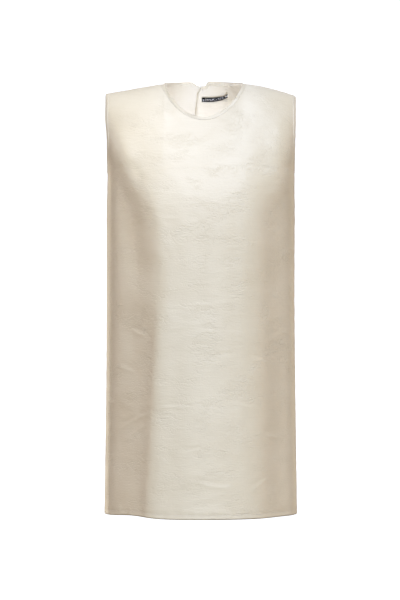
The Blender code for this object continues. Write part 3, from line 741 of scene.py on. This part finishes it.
labelLook = {"dark": (0.002, 0.002, 0.002, 1), "lessDark": (0.008, 0.007, 0.006, 1),
             "mark": (0.50, 0.47, 0.42, 1), "ribDepth": 0.0002,
             "ribs": (500, 3200, 1), "blots": (400, 330, 1), "blotEdge": (0.52, 0.57),
             "markRows": ((0.0018, 0.0026), (0.0070, 0.0062))}    # fade in and out up the tape


def labelMaterial(name, look):
    # dense ribbed tape with rough pale marks woven along its middle: a coarse noise over a threshold
    material, tree, shader = newMaterial(name)
    uv = addNode(tree, "ShaderNodeUVMap", {}, uv_map="cloth").outputs["UV"]
    rib = stretchedNoise(tree, uv, look["ribs"], 2)
    blot = stretchedNoise(tree, uv, look["blots"], 1, 0.4)
    up = addNode(tree, "ShaderNodeSeparateXYZ", {0: uv}).outputs["Y"]
    low, high = (ramp(tree, up, *row) for row in look["markRows"])
    mark = calc(tree, "MULTIPLY", ramp(tree, blot, *look["blotEdge"]), calc(tree, "MULTIPLY", low, high))
    tape = mixed(tree, rib, look["dark"], look["lessDark"])
    fill(tree, shader, {
        "Base Color": mixed(tree, mark, tape, look["mark"]),
        "Normal": raised(tree, rib, look["ribDepth"], 0.5),
        "Roughness": 0.75, "Specular IOR Level": 0.08,
    })
    return material


def finish(made, slotName, *nodes):
    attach(made, "root")
    if nodes:
        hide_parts(*nodes)


cloth = clothMaterial("clothLook", clothLook)
bias = clothMaterial("biasLook", biasLook, 0.7)
thread = cloudedMaterial(
    "threadLook", (0.656, 0.615, 0.5412, 1), (0.80, 0.75, 0.66, 1), (2600, 2600, 2600), 2, 0.5,
    {"Roughness": 0.55, "Sheen Weight": 0.2})[0]
pearl = cloudedMaterial(
    "pearlLook", (0.66, 0.60, 0.50, 1), (0.86, 0.83, 0.77, 1), (260, 260, 420), 4, 0.6,
    {"Roughness": 0.22, "Coat Weight": 0.6, "Coat Roughness": 0.08})[0]

front = clothPanel("frontPanel", "front", 0, cloth, 11)
backLeft = clothPanel("backLeftPanel", "back", 1, cloth, 21)
backRight = clothPanel("backRightPanel", "back", -1, cloth, 61)
panels = (front, backLeft, backRight)
for panel, node in zip(panels, ("front", "back_left", "back_right")):
    finish(panel["object"], "cloth", node)
print("panels made", flush=True)

# neck edge: from the slit round the wearer's left, along the front and back to the slit
neckCount = shell["neckColumns"]
count = neckCount + shell["shoulderColumns"]
neckEdge = np.concatenate([
    backLeft["outer"][-1, :neckCount],
    front["outer"][-1, count + neckCount:count - neckCount - 1:-1],
    backRight["outer"][-1, :neckCount][::-1],
])
neckEdge = resample(neckEdge, 260)
neck = bindEdge("neckBinding", neckEdge, False, panels, bias, 71)
finish(neck["object"], "binding_cloth", "neck_binding")
holes = {}
rows = shell["upperRows"]
for hand, column, back in (("Left", -1, backLeft), ("Right", 0, backRight)):
    edge = np.concatenate([front["outer"][-rows - 1:, column], back["outer"][:-rows - 1:-1, -1]])
    edge = resample(edge, 230, closed=True)
    holes[hand] = bindEdge("armholeBinding" + hand, edge, True, panels, bias, 73 if hand == "Left" else 79)
    finish(holes[hand]["object"], "binding_cloth", "armhole_binding_" + hand.lower())
print("bindings made", flush=True)

# topstitching: round the hem, beside the bindings and down both edges of the slit
inset = {"binding": 0.0058, "slit": 0.0045}


def hemLine(panel):
    # where the hem's stitches run: each column's point at their height above the edge
    level = panel["outer"]
    up = level[..., 2] - level[:1, :, 2]
    row = np.argmax(up > hem["stitchUp"], axis=0)
    columns = np.arange(level.shape[1])
    share = ((hem["stitchUp"] - up[row - 1, columns]) / (up[row, columns] - up[row - 1, columns]))[:, None]
    return level[row - 1, columns] * (1 - share) + level[row, columns] * share, panel["normals"][row, columns]


for panel, name in zip(panels, ("Front", "BackLeft", "BackRight")):
    finish(stitchRow("hemStitches" + name, *hemLine(panel), thread, 3), "loop_thread")
wide, narrow = (binding["outerLeg"][leg][0] for leg in (1, 2))
share = inset["binding"] / binding["width"]
for made, name in ((neck, "Neck"), (holes["Left"], "ArmholeLeft"), (holes["Right"], "ArmholeRight")):
    strip, out = made["strip"], made["normals"]
    path = (strip[:, 2] * (wide - share) + strip[:, 1] * (share - narrow)) / (wide - narrow)
    if made is not neck:
        path, out = (np.concatenate([line, line[:1]]) for line in (path, out))
    finish(stitchRow("stitches" + name, path, out, thread, 5), "loop_thread")
for panel, name in ((backLeft, "SlitLeft"), (backRight, "SlitRight")):
    edge = panel["outer"][:, 0]
    open_ = edge[edge[:, 2] > cut["slitBottomZ"]][:-4]
    path, out = layOn(open_ + np.array((panel["half"] * inset["slit"], 0, 0)), [panel], 0.0)
    finish(stitchRow("stitches" + name, path, out, thread, 9), "loop_thread")
print("stitches made", flush=True)

button = {"radius": 0.0050, "thickness": 0.0022, "lift": 0.0021, "shank": 0.0014, "x": 0.0085, "z": -0.0065,
          # share of the radius, and how far below the rim's top
          "dish": ((0.00, 0.00050), (0.35, 0.00048), (0.58, 0.00038), (0.70, 0.00012), (0.78, 0.0)),
          # share of the shank's radius, and height above the cloth, from the button down
          "foot": ((1.3, 0.0020), (1.0, 0.0015), (1.15, 0.0004), (1.5, 0.0), (0.0, 0.0))}
backY = {"button": 0.068, "label": 0.064}   # near the back at the neck, before a point is laid on it


def turned(name, profile, place, out, material, segments=64):
    # profile (radius, height) turned about the cloth's normal
    side = unit(np.cross(out, (0, 0, 1)))
    r, h = np.array(profile).T
    spine = place + out * h[:, None]
    points = ringsRound(spine, side, np.cross(side, out), r, segments)
    away = (points - (place + out * h.mean())).reshape(-1, 3)
    faces = outwardFaces(points.reshape(-1, 3), gridFaces(len(r), segments, closeColumns=True), away)
    return makeMesh(name, points.reshape(-1, 3), faces, material)


place, out = layOn(np.array([[button["x"], backY["button"], button["z"]]]), [backLeft], 0.0)
r, t = button["radius"], button["thickness"]
top = button["lift"] + t
profile = [(max(r * share, 0.00001), top - down) for share, down in button["dish"]]
edgeTurn = np.radians(np.linspace(12, 168, 12))
profile += [(r - t / 2 * (1 - math.sin(a)), top - t / 2 * (1 - math.cos(a))) for a in edgeTurn]
profile += [(r * 0.55, button["lift"])]
profile += [(max(button["shank"] * share, 0.00001), up) for share, up in button["foot"]]
finish(turned("pearlButton", profile, place[0], out[0], pearl), "button_pearl", "button")

# two-ply thread loop from the other back's slit edge round the shank
loop = {"radius": 0.00032, "twist": 520.0, "startX": -0.0026, "halfHeight": 0.0030, "slack": 0.0011}
turn = button["shank"] + loop["slack"]
bx, bz, sx, hh = button["x"], button["z"], loop["startX"], loop["halfHeight"]
arc, share = np.linspace(0, math.pi, 24), np.linspace(0, 1, 14)
upper = np.stack([sx + (bx - sx) * share, bz + hh + (turn - hh) * smoothStep(share)], axis=-1)
route = np.concatenate([upper[:-1], np.stack([bx + turn * np.sin(arc), bz + turn * np.cos(arc)], axis=-1),
                        (upper * (1, -1) + (0, 2 * bz))[::-1][1:]])
guess = np.insert(route, 1, backY["button"], axis=1)
spine = resample(layOn(guess, [backLeft, backRight], loop["slack"])[0], 160)
spineOut = layOn(spine, [backLeft, backRight], 0.0)[1]


def twistedTube(name, spine, out, radius, twist, material):
    # two strands that wind round the spine: spine + r (n cos(kt) + b sin(kt))
    tangent = unit(np.gradient(spine, axis=0))
    n = unit(out - np.sum(out * tangent, axis=1, keepdims=True) * tangent)
    b = np.cross(tangent, n)
    tubes, faces = [], []
    for strand in (0, math.pi):
        phase = (runAlong(spine, 0) * twist * 2 + strand)[:, None]
        centre = spine + radius * (n * np.cos(phase) + b * np.sin(phase))
        tube = ringsRound(centre, n, b, radius, 8)
        base = gridFaces(len(spine), 8, closeColumns=True)
        base = outwardFaces(tube.reshape(-1, 3), base, (tube - centre[:, None]).reshape(-1, 3))
        faces.append(base + len(tubes) * len(spine) * 8)
        tubes.append(tube.reshape(-1, 3))
    return makeMesh(name, np.concatenate(tubes), np.concatenate(faces), material)


madeLoop = twistedTube("threadLoop", spine, spineOut, loop["radius"], loop["twist"], thread)
finish(madeLoop, "loop_thread", "button_loop")

label = {"startX": 0.0036, "endX": 0.0560, "z": -0.0292, "height": 0.0092, "curl": 0.0124, "wall": 0.0004,
         "off": 0.0012,     # how far it stands off the back's inside
         "lift": 0.0016,    # how much further at its loose end
         "waist": 0.20}     # how much narrower it looks where it twists away
u, v = np.meshgrid(np.linspace(0, 1, 61), np.linspace(-0.5, 0.5, 13))
x = label["startX"] + u * (label["endX"] - label["startX"]) + 0.0016 * v * smoothStep((u - 0.8) / 0.2)
rise = label["z"] + label["curl"] * u ** 3.2
ripple = 0.0004 * noise(u * 9, v * 2, 91) * (1 - np.abs(u - 0.5))
tall = label["height"] * (1 - label["waist"] * bell(u - 0.80, 0.10))
z = rise + v * tall + 0.0003 * noise(u * 6, v * 0, 92)
inside = layOn(np.stack([x, np.full_like(x, backY["label"]), z], axis=-1), [backLeft], 0.0)[0]
lift = -shell["thickness"] - label["off"] - ripple - label["lift"] * smoothStep((u - 0.72) / 0.28)
inside, insideOut = layOn(inside, [backLeft], lift)
madeLabel = makeShell("wovenLabel", inside, -insideOut, labelMaterial("labelLook", labelLook), label["wall"])
finish(madeLabel, "label_weave", "label")
print("trim made", flush=True)


def flatSize(panel):
    # girth and length of a panel's own grid, and its area
    p = panel["outer"]
    a, b = np.diff(p, axis=1)[:-1], np.diff(p, axis=0)[:, :-1]
    area = np.linalg.norm(np.cross(a, b), axis=-1).sum()
    girth, rise = runAlong(p, 1)[:, -1].max(), runAlong(p, 0)[-1].max()
    return girth, rise + hem["turnDepth"], area + girth * hem["turnDepth"]


for panel in panels:
    print(panel["object"].name, "flat", [round(float(s), 4) for s in flatSize(panel)], flush=True)

# pale floor that curves up into the backdrop
studio = {"floorZ": -2.10, "pale": (0.56, 0.56, 0.56, 1), "paler": (0.60, 0.60, 0.60, 1), "glow": 0.90,
          "glowFrom": (-2.08, -1.88),    # the backdrop glows above these heights, the floor doesn't
          "glowHalfWidth": (1.05, 1.9),   # and fades out towards its sides
          "halfWidth": 3.4, "front": -4.6, "back": 5.6, "bend": 0.6, "top": 2.6}


def sweepMaterial():
    material, tree, shader, where = cloudedMaterial(
        "sweepLook", studio["pale"], studio["paler"], (3, 3, 3), 2, 0.5,
        {"Roughness": 0.9, "Emission Color": (1, 1, 1, 1)})
    split = addNode(tree, "ShaderNodeSeparateXYZ", {0: where}).outputs
    glow = ramp(tree, split["Z"], *studio["glowFrom"], 0.0, studio["glow"])
    fade = ramp(tree, calc(tree, "ABSOLUTE", split["X"]), *studio["glowHalfWidth"], 1.0, 0.0)
    fill(tree, shader, {"Emission Strength": calc(tree, "MULTIPLY", glow, fade)})
    return material


def sweep():
    # a profile of floor, quarter bend and wall, drawn out sideways
    bend, low, back = studio["bend"], studio["floorZ"], studio["back"]
    turn = np.linspace(-math.pi / 2, 0, 16)
    y = np.concatenate([[studio["front"], 0.0], back - bend + bend * np.cos(turn), [back]])
    z = np.concatenate([[low, low], low + bend + bend * np.sin(turn), [studio["top"]]])
    x, y = np.meshgrid(np.array((-1, 1)) * studio["halfWidth"], y)
    points = np.stack([x, y, np.broadcast_to(z[:, None], x.shape)], axis=-1).reshape(-1, 3)
    faces = outwardFaces(points, gridFaces(len(z), 2), np.array((0.0, -1.0, 1.0)) + 0 * points)
    return makeMesh("sweep", points, faces, sweepMaterial())


sweep()

lamps = (
    # name, place, aim, size, watts, colour, spread in degrees
    ("keyLight", (0.6, -5.9, 5.6), (0, 0, -0.4), (2.8, 1.8), 742, (0.90, 1.0, 1.26), 180),
    ("frontFill", (0.2, -3.0, -1.9), (0, 0, -0.75), (1.4, 1.0), 16, (0.95, 1.0, 0.75), 180),
    ("leftWarm", (-3.2, -0.3, -0.6), (0, 0, -0.5), (1.2, 2.0), 9, (1.0, 0.35, 0.0), 180),
    ("rightWarm", (3.2, -0.3, -0.6), (0, 0, -0.5), (1.2, 2.0), 9, (1.0, 0.40, 0.0), 180),
    ("leftRim", (-2.5, 3.2, -0.9), (0, 0, -0.6), (1.2, 2.4), 48, (1.0, 0.92, 0.74), 180),
    ("rightRim", (2.5, 3.2, -0.5), (0, 0, -0.5), (1.2, 2.4), 22, (1.0, 0.86, 0.60), 180),
    ("backFill", (0.3, 4.2, 2.4), (0, 0, -0.4), (1.8, 1.2), 50, (0.92, 1.0, 1.2), 180),
    # a small soft one inside the body, for the inside of the back at the neck
    ("innerGlow", (0.062, -0.03, -0.58), (-0.002, 0.05, 0.0), (0.14, 0.08), 0.29, (0.86, 1.0, 1.38), 50),
    # a narrow one from the upper left, for the wearer's right shoulder
    ("shoulderLamp", (-1.80, -2.60, 4.20), (-0.145, -0.10, -0.055), (0.03, 0.03), 0.04, (1.0, 0.94, 0.86), 5),
)


def addLamp(name, place, aim, size, watts, colour, spread):
    data = bpy.data.lights.new(name, "AREA")
    data.shape, data.size, data.size_y = "RECTANGLE", *size
    data.energy, data.color, data.spread = watts, colour, math.radians(spread)
    made = bpy.data.objects.new(name, data)
    bpy.context.scene.collection.objects.link(made)
    made.location = place
    made.rotation_euler = (Vector(aim) - Vector(place)).to_track_quat("-Z", "Y").to_euler()
    return made


for lamp in lamps:
    made = addLamp(*lamp)
    made.visible_camera = made.name != "innerGlow"
worldLight = {"Strength": 0.06, "Color": (1.0, 0.84, 0.66, 1)}
world = bpy.data.worlds.new("studio")
world.use_nodes = True
fill(world.node_tree, world.node_tree.nodes["Background"], worldLight)
bpy.context.scene.world = world
bpy.context.scene.view_settings.view_transform = "Standard"

view = {"lens": 126.6, "sensor": 36, "place": (-0.0016, -4.2, -0.431)}     # level, from the front
cameraData = bpy.data.cameras.new("camera")
cameraData.lens, cameraData.sensor_width = view["lens"], view["sensor"]
camera = bpy.data.objects.new("camera", cameraData)
bpy.context.scene.collection.objects.link(camera)
camera.location = view["place"]
camera.rotation_euler = (math.pi / 2, 0, 0)
bpy.context.scene.camera = camera
print("studio made", flush=True)
